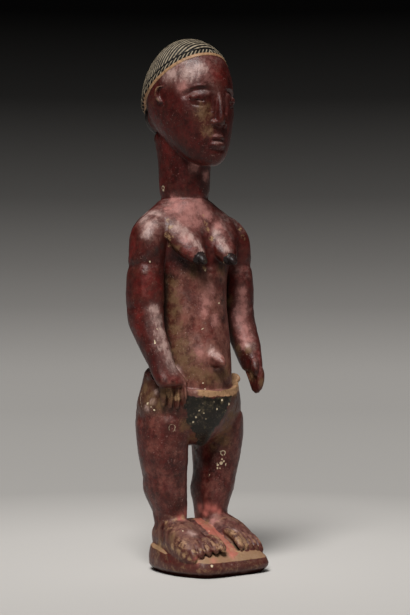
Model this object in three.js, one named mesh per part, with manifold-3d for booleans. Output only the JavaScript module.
// A standing female figure, carved from one block of wood together with its low base.
// Millimetres, +Z up. The figure faces -Y and its own left hand is on the +X side.
// The rows of numbers below measure from the body's upright middle line:
// "side" is towards the figure's left, "forward" is towards the viewer and "up" starts at the ground.
// The origin is on the ground, under the middle of the whole carving.
import * as THREE from 'three';
import { LoftGeometry } from 'three/addons/geometries/LoftGeometry.js';
import { mergeVertices } from 'three/addons/utils/BufferGeometryUtils.js';
import Module from 'manifold-3d';

const wasm = await Module();
wasm.setup();

// Driving dimensions
const HEIGHT = 460;
const ANKLE_SPREAD = 21.5;
const CALF_SPREAD = 25.8;
const THIGH_SPREAD = 29.3;
const ARM_SPREAD = 48.5;
const NECK_BACK = 8;

// Heights above the ground
const ANKLE = 43;
const CROTCH = 109;
const BELT = 167;
const NAVEL = 176;
const NIPPLE = 267.5;
const NECK_FOOT = 319;
const CHIN = 347;
const EYES = 404;
const EARS = 408;
const HAIRLINE = 424;

// Slivers left by joining the masses are cleared away where that moves the skin by less than this
const SLIVER = 0.12;

const X_AXIS = new THREE.Vector3(1, 0, 0);
const UP = new THREE.Vector3(0, 0, 1);
const FORWARD = new THREE.Vector3(0, -1, 0);

const at = (side, forward, up) => new THREE.Vector3(side, -forward, up);

// Catmull-Rom curve through rows of numbers, with a number of steps between each two rows
function smooth(rows, steps) {
  const row = (i) => rows[THREE.MathUtils.clamp(i, 0, rows.length - 1)];
  const dense = [];
  for (let i = 0; i < rows.length - 1; i++) {
    for (let step = 0; step < steps; step++) {
      const t = step / steps;
      const [p, q, r, s] = [row(i - 1), row(i), row(i + 1), row(i + 2)];
      dense.push(q.map((value, k) => {
        const bend = 2 * p[k] - 5 * value + 4 * r[k] - s[k];
        const twist = 3 * value - p[k] - 3 * r[k] + s[k];
        return 0.5 * (2 * value + (r[k] - p[k]) * t + bend * t * t + twist * t ** 3);
      }));
    }
  }
  dense.push(rows[rows.length - 1]);
  return dense;
}

// A closed manifold-3d solid from a three.js geometry
function solid(geometry) {
  const bare = new THREE.BufferGeometry();
  bare.setAttribute('position', geometry.getAttribute('position'));
  bare.setIndex(geometry.getIndex());
  const merged = mergeVertices(bare, 1e-3);
  return new wasm.Manifold(new wasm.Mesh({
    numProp: 3,
    vertProperties: merged.attributes.position.array,
    triVerts: new Uint32Array(merged.index.array),
  }));
}

// A limb: oval sections strung along a line. A row is side, forward, up, half-width, half-depth.
// The sections stand square to the line, or to a fixed normal when one is given.
// "square" pushes an oval out at its four diagonals.
function limb(rows, { sides = 14, steps = 1, normal = null, across = X_AXIS, square = 0 } = {}) {
  const dense = smooth(rows, steps);
  const centre = dense.map((row) => at(row[0], row[1], row[2]));
  const sections = dense.map((row, i) => {
    const before = centre[Math.max(i - 1, 0)];
    const after = centre[Math.min(i + 1, centre.length - 1)];
    const along = normal ?? after.clone().sub(before).normalize();
    const wide = across.clone().addScaledVector(along, -across.dot(along)).normalize();
    const deep = along.clone().cross(wide);
    return Array.from({ length: sides }, (_, k) => {
      const angle = (k / sides) * 2 * Math.PI;
      const swell = 1 + square * Math.sin(2 * angle) ** 2;
      return centre[i].clone()
        .addScaledVector(wide, swell * Math.cos(angle) * row[3])
        .addScaledVector(deep, swell * Math.sin(angle) * row[4]);
    });
  });
  return solid(new LoftGeometry(sections, { capStart: true, capEnd: true }));
}

// A stack of level sections, for the upright masses
const stack = (rows, options = {}) => limb(rows, { normal: UP, ...options });

// The same rows on the other side of the body
const mirrored = (rows) => rows.map(([side, ...rest]) => [-side, ...rest]);

// An egg with its own three half-sizes
function egg(side, forward, up, wide, deep, tall, detail = 10) {
  const ball = new THREE.SphereGeometry(1, detail, Math.round(detail * 0.6));
  ball.scale(wide, deep, tall);
  const centre = at(side, forward, up);
  return solid(ball.translate(centre.x, centre.y, centre.z));
}

const join = (solids) => wasm.Manifold.union(solids);

// A large block whose lower face is the plane through a point, level from side to side
// and rising by slope for each millimetre forward
function blockAbove(forward, up, slope, reach = 300) {
  const block = new THREE.BoxGeometry(reach, reach, reach).translate(0, 0, reach / 2);
  block.rotateX(-Math.atan(slope));
  const point = at(0, forward, up);
  return solid(block.translate(point.x, point.y, point.z));
}

// Base: rounded behind, cornered in front. Its flat underside is smaller than its rim,
// its sides lean in from the rim to a shoulder and its top swells above that and falls forward.
const BASE_OUTLINE = [
  [-24, -21], [-37, -10], [-42, 8], [-42, 32], [-36, 50], [-26, 63],
  [6, 65], [33, 63.5], [42, 55], [44, 34], [43, 8], [37, -12], [22, -22], [0, -26],
];
const BASE_BACK = -26;
const BASE_FRONT = 65;
const BASE_MIDDLE = 22;
// Height at the back, height at the front, and how far out, of each ring from the ground up
const BASE_RINGS = [[0, 0, 0.9], [5.5, 5.5, 0.99], [13.5, 8, 1], [23, 12.5, 0.965], [27, 20, 0.8], [30, 23, 0.5]];

function base() {
  const outline = new THREE.CatmullRomCurve3(
    BASE_OUTLINE.map(([side, forward]) => at(side, forward, 0)), true, 'catmullrom', 0.35,
  ).getPoints(28).slice(0, -1);
  const middle = at(0, BASE_MIDDLE, 0);
  const rings = BASE_RINGS.map(([back, front, scale]) => outline.map((point) => {
    const q = point.clone().sub(middle).multiplyScalar(scale).add(middle);
    return q.setZ(THREE.MathUtils.mapLinear(-q.y, BASE_BACK, BASE_FRONT, back, front));
  }));
  return solid(new LoftGeometry(rings, { capStart: true, capEnd: true }));
}

// Foot and toes. A foot's rows run forward from the heel.
const FOOT_ROWS = [
  [21, -17.5, 29, 5, 4], [21, -14, 29.5, 10, 9.5], [21.5, -4, 30, 13, 15], [22.5, 10, 28.5, 14.5, 18.5],
  [24, 24, 25.5, 16, 17.5], [25, 35, 23, 16.5, 14], [24.5, 44, 21, 16.2, 11.5], [23.5, 50, 19.5, 14.5, 8.5],
  [22, 54, 18.5, 11.5, 5],
];
const FOOT_LENGTH = 62;
const TOES = 5;
// hand: -1 right, 1 left. inner: the big toe's side. tip, turn: how far forward the big toe reaches
// and how much shorter each next toe is. ball, fall: the height of the big toe's ball and how much
// lower each next one is. root: how much higher the toes start. lift: how full the instep is.
const RIGHT_FOOT = { hand: -1, inner: 10, pitch: 6.2, tip: 62, turn: 1.7, ball: 24, fall: 1.3, root: 6.5, lift: 1 };
const LEFT_FOOT = { hand: 1, inner: 12.5, pitch: 6, tip: 57.5, turn: 0.8, ball: 23, fall: 1.2, root: 10.5, lift: 1.09 };

function toes({ hand, inner, pitch, tip, turn, ball, fall, root }) {
  return Array.from({ length: TOES }, (_, i) => {
    const x = hand * (inner + i * pitch);
    const end = tip - i * turn;
    const low = ball - i * fall;
    const thick = i === 0 ? 3.7 : 3.2;
    return limb([
      [x, end - 25, low + root + 1, thick * 0.8, 3], [x, end - 15, low + root, thick, 4],
      [x, end - 7, low + root * 0.6, thick, 4.3], [x, end - 2, low + root * 0.15, thick * 0.95, 4],
      [x, end, low - 0.8, thick * 0.6, 2.2],
    ], { sides: 6 });
  });
}

function foot(shape) {
  const rows = FOOT_ROWS.map(([side, forward, up, wide, deep]) => (
    [side * shape.hand, (forward * shape.tip) / FOOT_LENGTH, up, wide, deep * shape.lift]
  ));
  return [limb(rows, { sides: 12, normal: FORWARD, square: 0.14 }), ...toes(shape)];
}

// Wood left standing between the two feet, falling from the ankles to the front of the base
const RAMP_ROWS = [
  [0, -14, 24, 10, 11], [1, -4, 27, 12, 17], [3, 12, 26, 12, 16], [4.5, 30, 22, 11, 11],
  [5, 46, 18.5, 10, 7], [5, 57, 16, 9, 4],
];

// Leg from inside the foot to inside the pelvis
const LEG_ROWS = [
  [ANKLE_SPREAD, 1, 24, 12, 13], [ANKLE_SPREAD, 1.5, ANKLE - 6, 12.8, 14.5], [ANKLE_SPREAD, 1, ANKLE + 3, 13.2, 15.5],
  [22.8, 0, 55, 14.2, 18], [24.5, -1.5, 63, 16.3, 21], [CALF_SPREAD, -2, 70, 17.4, 22], [26.5, -0.5, 77, 17, 21],
  [27.3, 0, 84, 17.3, 21.8], [28.7, 0, 96, 19, 24], [THIGH_SPREAD, -0.5, 110, 19.6, 26.5],
  [THIGH_SPREAD, -0.5, 126, 19.8, 29], [28, 0, 142, 19, 29],
];

// Pelvis, cut off above by the ledge that the trunk rises from
const LEDGE_SLOPE = -0.29;
const PELVIS_ROWS = [
  [0, 0, CROTCH - 3, 10, 12], [0, -0.5, CROTCH + 3, 24, 24], [0, -1, 119, 39.5, 32], [0, -1, 129, 47.3, 37],
  [-1, 0, 140, 49, 39.5], [-1.5, 1, 149, 47.5, 38.5], [-1.5, 2, 158, 44.5, 37.5], [-1, 3, 168, 43, 35.5],
  [0, 3.5, 188, 42, 34],
];

function pelvis() {
  const buttock = (side) => egg(side * 20, -17, 133, 21, 21.5, 23, 10);
  const block = join([stack(PELVIS_ROWS, { sides: 20 }), buttock(-1), buttock(1)]);
  return block.subtract(blockAbove(0, BELT, LEDGE_SLOPE));
}

// What is left of the ledge's worn rim at both sides: a knob on the right and a swelling on the left
const RIM_KNOB = [-44, 2.5, 168, 3, 4, 4.4];
const RIM_SWELL = [41.8, 8, 163.5, 3.6, 9, 5];

// Loincloth: a raised apron between the thighs
const APRON_ROWS = [
  [0, 14, CROTCH - 3, 3.5, 5], [0, 17, CROTCH + 3, 6.5, 9], [0, 22, 120, 12, 11.5], [0, 25.5, 130, 19, 13],
  [0, 27, 140, 26, 13.8], [0, 27, 149, 31, 13.5], [0, 26, 154, 31, 12],
];

// Trunk from inside the pelvis to the foot of the neck
const TRUNK_ROWS = [
  [0, 9, 138, 31, 27], [0, 9, 164, 32, 28], [0, 8.5, 186, 31.5, 28], [0, 7, 206, 30.5, 27],
  [0, 5, 228, 30, 26], [0, 3.5, 246, 31, 25.5], [0, 2, 262, 35, 26], [0, 0.5, 276, 41, 26], [0, -1.5, 288, 46.5, 25.5],
  [0, -3.5, 298, 49, 24.5], [0, -4.5, 304, 45, 24], [0, -6, 310, 36, 23.5], [0, -7, 315.5, 27, 23],
  [0, -NECK_BACK, NECK_FOOT, 23.5, 23], [0, -NECK_BACK, NECK_FOOT + 1.5, 19, 19],
];

const NECK_ROWS = [
  [0, -NECK_BACK, NECK_FOOT - 10, 21.5, 22], [0, -NECK_BACK, 336, 22, 22.5],
  [0, -NECK_BACK, 356, 22.5, 24.5], [0, -NECK_BACK - 1, 370, 24, 28], [0, -NECK_BACK - 1, 384, 25, 31],
];

// The breasts point forward and down from the front of the shoulders
function breast(side) {
  const x = 16 * side;
  return join([
    limb([
      [x * 1.37, 5, 304, 14, 9], [x * 1.34, 12, 296, 18, 13.5], [x * 1.25, 20, 286, 17.5, 15.5],
      [x * 1.08, 28, 276.5, 13, 12], [x * 1.03, 34, 270.8, 8.8, 8.6], [x, 38.5, NIPPLE, 5.2, 5.2],
    ], { sides: 12, normal: FORWARD }),
    limb([
      [x, 37, NIPPLE + 0.3, 4.6, 4.6], [x, 40, NIPPLE - 0.9, 4.3, 4.3], [x, 42.8, NIPPLE - 2.3, 3.1, 3.1],
      [x, 44.2, NIPPLE - 3.1, 1.2, 1.2],
    ], { sides: 8, normal: FORWARD }),
  ]);
}

const NAVEL_ROWS = [
  [0, 31, NAVEL + 7, 9, 9], [0, 38, NAVEL + 6, 7.4, 8], [0.5, 43.5, NAVEL + 4, 5, 5.6],
  [1, 47.5, NAVEL + 2.6, 3, 3.4], [1.2, 49.5, NAVEL + 2, 1.2, 1.4],
];

// Arms. The right hand lies on the hip, the left one hangs free in front of the hip.
const UPPER_ARM = [
  [ARM_SPREAD - 16, -3.5, 308, 6, 9], [ARM_SPREAD - 11, -2.5, 303, 10.5, 14], [ARM_SPREAD - 6, -0.5, 294, 13.8, 17],
  [ARM_SPREAD - 3, 1, 283, 14.8, 17], [ARM_SPREAD - 1.8, 1.5, 271, 14.2, 15.8], [ARM_SPREAD - 1, 1.5, 262, 13.6, 14.8],
  [ARM_SPREAD, 1.5, 252, 14.4, 16.2], [ARM_SPREAD + 0.3, 1.5, 239, 15, 17], [ARM_SPREAD + 0.3, 1.5, 226, 14.4, 16.2],
];
const RIGHT_FOREARM = [
  [ARM_SPREAD + 0.3, 3, 214, 13.8, 15.4], [ARM_SPREAD - 0.7, 7, 203, 13.2, 14.4], [ARM_SPREAD - 2.5, 12.5, 191, 12.2, 12.8],
  [ARM_SPREAD - 4.5, 17, 180, 11, 10.6], [ARM_SPREAD - 7, 20.8, 171, 12.6, 9.8], [ARM_SPREAD - 10, 25.6, 163.5, 14.4, 9.4],
  [ARM_SPREAD - 10.5, 26.4, 160, 13.6, 8], [ARM_SPREAD - 10.5, 25.5, 158.6, 11, 5],
];
const LEFT_FOREARM = [
  [ARM_SPREAD + 0.3, 5, 214, 13.6, 15], [ARM_SPREAD + 0.5, 10.5, 203, 12.8, 14.2], [ARM_SPREAD + 0.8, 16, 193, 11.4, 13.2],
  [ARM_SPREAD + 0.5, 20.5, 184, 9.2, 13], [ARM_SPREAD + 0.3, 24.5, 176, 7.2, 12.4], [ARM_SPREAD, 27, 169, 6, 10.5],
];

// Four fingers side by side, from the knuckles to the tips, and a thumb beside them
const FINGERS = 4;

function rightHand() {
  const list = [];
  for (let i = 0; i < FINGERS; i++) {
    const x = -(ARM_SPREAD - 4 - i * 4.8);
    const forward = 19.5 + i * 3.4;
    const tip = 142 - Math.sin((i / (FINGERS - 1)) * Math.PI) * 2.5;
    list.push(limb([
      [x, forward, 167, 2.3, 4.2], [x, forward + 2, 159, 2.3, 4.2], [x, forward + 2.5, 150, 2.2, 4],
      [x, forward + 2.2, tip + 2, 2, 3.4], [x, forward + 2, tip, 1, 1.6],
    ], { sides: 6 }));
  }
  return list;
}

function leftHand() {
  const palm = ARM_SPREAD - 0.5;
  const list = [];
  for (let i = 0; i < FINGERS; i++) {
    const root = 19.5 + i * 5;
    const tip = 33 + (i - 1.5) * 2.4;
    const low = 154 - Math.sin(((i + 0.8) / FINGERS) * Math.PI) * 3;
    list.push(limb([
      [palm, root, 176, 4.8, 3.2], [palm + 0.3, root + 3.5, 169, 4.6, 3], [palm, (root + tip) / 2 + 3, 162, 4, 2.7],
      [palm - 0.6, tip + 1, low + 2, 3, 2.2], [palm - 0.6, tip + 1, low, 1, 1],
    ], { sides: 6 }));
  }
  list.push(limb([
    [palm - 2, 29, 184, 3.2, 3.6], [palm - 4, 35.5, 178, 3.6, 4], [palm - 5, 37, 171, 3.3, 3.6], [palm - 4.5, 37, 166, 1.2, 1.4],
  ], { sides: 8 }));
  return list;
}

// Head
const HEAD_ROWS = [
  [0, 27, CHIN, 6, 5], [0, 25, CHIN + 2.5, 12, 11.5], [0, 21, CHIN + 9, 19, 18.5], [0, 14.5, CHIN + 19, 25, 26],
  [0, 7, 379, 30, 34.5], [0, 1.5, 392, 33.5, 40], [0, -1, 405, 35, 42.5], [0, -1.5, 418, 35, 42.5],
  [0, -1.5, 432, 32.3, 39], [0, -1.5, 444, 26.5, 32], [0, -1, 452.5, 18.5, 22.5], [0, 0, HEIGHT - 3.5, 9, 11],
];

// The carving of the face: brows, eyes, nose, lips and ears, on an even, plain plan
function face() {
  const parts = [];
  for (const side of [-1, 1]) {
    parts.push(limb([
      [side * 5, 38.5, EYES + 6, 2, 1.5], [side * 11, 38.5, EYES + 9.5, 2.2, 2], [side * 19, 35, EYES + 10, 2, 1.8],
      [side * 27, 27, EYES + 6, 1, 1],
    ], { sides: 6, across: UP }));
    parts.push(egg(side * 15.5, 32.5, EYES, 7.6, 4.2, 4, 8));
    parts.push(limb([
      [side * 32.5, 9, EARS + 6, 2, 2], [side * 36, 6, EARS + 8, 2.2, 2], [side * 37.5, 2, EARS + 4, 2.2, 2],
      [side * 37, 2, EARS - 3, 2.2, 2], [side * 35, 6, EARS - 7, 2, 2], [side * 32.5, 8, EARS - 7, 1, 1],
    ], { sides: 6, across: UP }));
    parts.push(egg(side * 4.6, 40.6, 382.5, 3, 4, 2.8, 8));
  }
  parts.push(limb([
    [0, 38.5, 411, 2.2, 3.5], [0, 41, 402, 2.6, 4], [0, 43, 392, 3.4, 4.5], [0, 44.2, 384, 4.2, 4.6], [0, 42, 379.5, 3, 2.5],
  ], { sides: 8 }));
  for (const [height, full] of [[370.4, 2], [364.6, 2.3]]) {
    parts.push(limb([
      [-11, 33.5, height - 1.4, 0.8, 0.8], [-5.5, 38.6, height, full, 2.4], [0, 40.2, height - 0.4, full, 2.6],
      [5.5, 38.6, height, full, 2.4], [11, 33.5, height - 1.4, 0.8, 0.8],
    ], { sides: 6, across: UP }));
  }
  return parts;
}

// Hair: a close cap of combed ridges that run over the head from side to side, cut off by a
// sloping hairline, with a plaited band along it
const HAIRLINE_SLOPE = 0.66;
const HAIR = { forward: -2.5, up: 404, wide: 37.4, deep: 46.5, tall: HEIGHT - 404.8 };
const RIDGES = 17;
const RIDGE_DEPTH = 0.018;
const HAIR_SIDES = 16;
const PLAITS = 26;
const BAND_SIDES = 4;

function hairCap() {
  const rows = RIDGES * 2;
  const sections = Array.from({ length: rows + 1 }, (_, i) => {
    const turn = THREE.MathUtils.lerp(-0.995, 0.995, i / rows) * (Math.PI / 2);
    const radius = Math.cos(turn) + (i % 2 ? RIDGE_DEPTH / 2 : -RIDGE_DEPTH / 2) + RIDGE_DEPTH / 2;
    return Array.from({ length: HAIR_SIDES }, (_, k) => {
      const angle = -(k / HAIR_SIDES) * 2 * Math.PI;
      const x = HAIR.wide * radius * Math.cos(angle);
      return new THREE.Vector3(x, HAIR.deep * Math.sin(turn) - HAIR.forward, HAIR.up + HAIR.tall * radius * Math.sin(angle));
    });
  });
  const cap = solid(new LoftGeometry(sections, { capStart: true, capEnd: true }));
  return cap.intersect(blockAbove(0, HAIRLINE, HAIRLINE_SLOPE));
}

// The hair at the nape hangs a little below that plane and tucks in to the neck
const NAPE = { forward: -28, up: 394, wide: 25, deep: 20, tall: 18 };

// Where the plane of the hairline meets the hair's egg, at an angle round the head
function hairlinePoint(angle) {
  const x = Math.cos(angle);
  const y = Math.sin(angle);
  const height = (r) => HAIRLINE - HAIRLINE_SLOPE * (r * y - HAIR.forward);
  let near = 0;
  let far = 60;
  for (let i = 0; i < 30; i++) {
    const r = (near + far) / 2;
    const rise = (height(r) - HAIR.up) / HAIR.tall;
    if (Math.hypot((r * x) / HAIR.wide, (r * y) / HAIR.deep, rise) < 1) near = r;
    else far = r;
  }
  return new THREE.Vector3(near * x, near * y - HAIR.forward, height(near));
}

function hairBand() {
  const rows = PLAITS * 2;
  const sections = Array.from({ length: rows + 1 }, (_, i) => {
    const angle = ((i % rows) / rows) * 2 * Math.PI;
    const point = hairlinePoint(angle);
    const along = hairlinePoint(angle + 0.02).sub(hairlinePoint(angle - 0.02)).normalize();
    const across = UP.clone().addScaledVector(along, -UP.dot(along)).normalize();
    const out = along.clone().cross(across);
    const radius = i % 2 ? 2.2 : 1.5;
    return Array.from({ length: BAND_SIDES }, (_, k) => {
      const turn = (k / BAND_SIDES) * 2 * Math.PI;
      return point.clone()
        .addScaledVector(across, Math.cos(turn) * radius)
        .addScaledVector(out, Math.sin(turn) * radius);
    });
  });
  return solid(new LoftGeometry(sections));
}

const figureSolid = join([
  base(),
  ...foot(RIGHT_FOOT),
  ...foot(LEFT_FOOT),
  limb(RAMP_ROWS, { sides: 12, normal: FORWARD, square: 0.15 }),
  stack(LEG_ROWS, { sides: 14 }),
  stack(mirrored(LEG_ROWS), { sides: 14 }),
  pelvis(),
  egg(...RIM_KNOB, 8),
  egg(...RIM_SWELL, 8),
  stack(APRON_ROWS, { sides: 14 }),
  stack(TRUNK_ROWS, { sides: 18 }),
  breast(-1),
  breast(1),
  limb(NAVEL_ROWS, { sides: 8, normal: FORWARD }),
  limb(mirrored([...UPPER_ARM, ...RIGHT_FOREARM]).toReversed(), { sides: 14 }),
  limb([...UPPER_ARM, ...LEFT_FOREARM].toReversed(), { sides: 14 }),
  ...rightHand(),
  ...leftHand(),
  stack(NECK_ROWS, { sides: 14 }),
  stack(HEAD_ROWS, { sides: 18 }),
  ...face(),
  hairCap(),
  egg(0, NAPE.forward, NAPE.up, NAPE.wide, NAPE.deep, NAPE.tall, 12),
  hairBand(),
]).simplify(SLIVER);

function geometryOf(manifold) {
  const mesh = manifold.getMesh();
  const geometry = new THREE.BufferGeometry();
  geometry.setAttribute('position', new THREE.BufferAttribute(mesh.vertProperties, 3));
  geometry.setIndex(new THREE.BufferAttribute(mesh.triVerts, 1));
  geometry.computeBoundingBox();
  return geometry;
}

const wood = new THREE.MeshStandardMaterial({ color: 0x6b2a26, roughness: 0.55, metalness: 0 });
const figure = new THREE.Mesh(geometryOf(figureSolid), wood);
figure.name = 'figure';
const { min, max } = figure.geometry.boundingBox;
figure.position.set(-(min.x + max.x) / 2, -(min.y + max.y) / 2, -min.z);

const part = new THREE.Group();
part.add(figure);
export default part;
